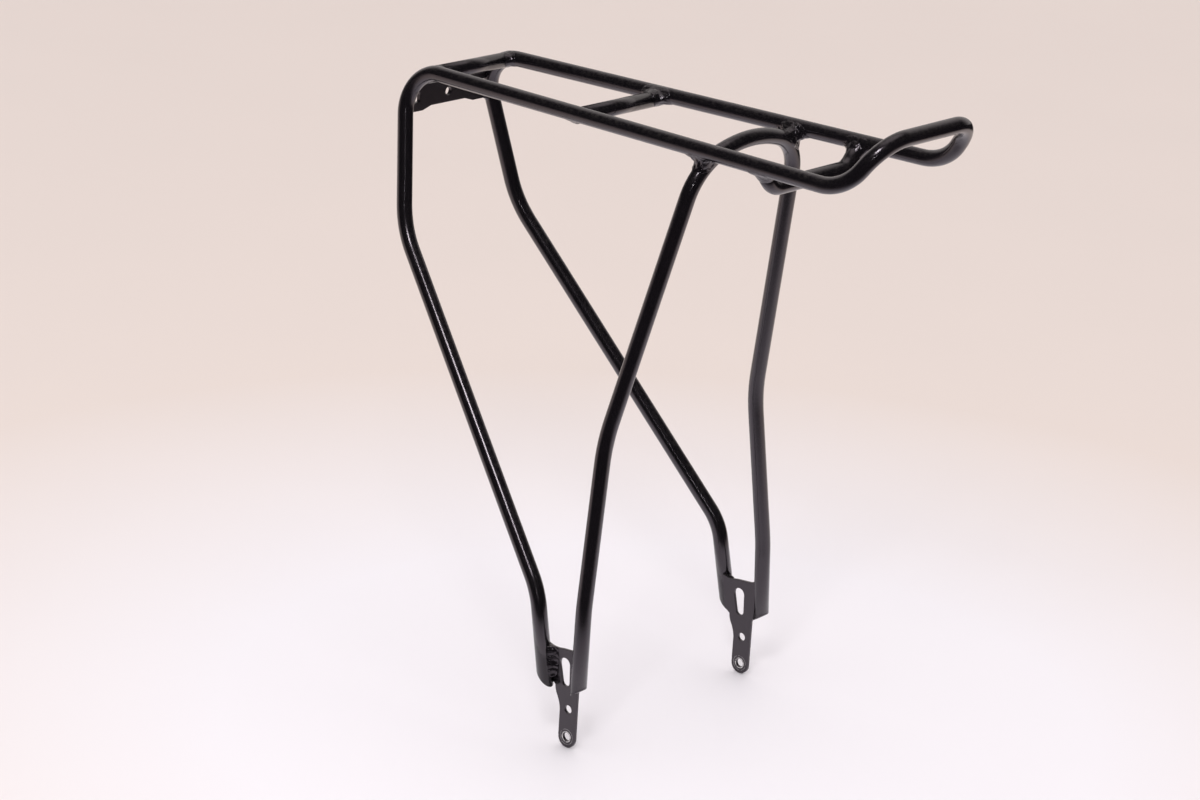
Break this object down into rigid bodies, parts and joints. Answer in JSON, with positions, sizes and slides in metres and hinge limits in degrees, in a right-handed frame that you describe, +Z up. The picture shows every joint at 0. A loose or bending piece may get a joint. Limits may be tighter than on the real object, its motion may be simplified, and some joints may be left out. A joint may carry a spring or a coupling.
{
  "type": "bicycle rear rack",
  "caption": "Rigid welded tube rack that stands over a bicycle's rear wheel on two tabbed dropouts, with two deck rails, cross tubes and an upturned rear loop.",
  "frame": {"origin": "midway between the lower holes of the two dropout tabs, on the rack's mirror plane", "axes": "+X towards the front of the bicycle, along the deck rails; +Y towards the bicycle's left; +Z up"},
  "size_m": [0.3839, 0.1908, 0.4215],
  "materials": {
    "tube_paint": "gloss black paint on bent steel tube",
    "plate_paint": "gloss black paint on cut steel plate",
    "weld_paint": "gloss black paint over a weld bead"
  },
  "bodies": {
    "root": {"deck_and_front_leg_tube": "tube_paint", "rear_leg_hoop": "tube_paint", "front_cross_tube": "tube_paint", "middle_cross_tube": "tube_paint", "rear_lamp_bar": "tube_paint", "left_front_leg_end_cap": "tube_paint", "left_rear_leg_end_cap": "tube_paint", "right_front_leg_end_cap": "tube_paint", "right_rear_leg_end_cap": "tube_paint", "left_dropout_plate": "plate_paint", "right_dropout_plate": "plate_paint", "front_stay_plate": "plate_paint", "left_front_cross_weld": "weld_paint", "left_middle_cross_weld": "weld_paint", "left_lamp_bar_weld": "weld_paint", "left_hoop_weld": "weld_paint", "left_front_dropout_weld": "weld_paint", "left_rear_dropout_weld": "weld_paint", "left_stay_plate_weld": "weld_paint", "right_front_cross_weld": "weld_paint", "right_middle_cross_weld": "weld_paint", "right_lamp_bar_weld": "weld_paint", "right_hoop_weld": "weld_paint", "right_front_dropout_weld": "weld_paint", "right_rear_dropout_weld": "weld_paint", "right_stay_plate_weld": "weld_paint"}
  },
  "joints": []
}
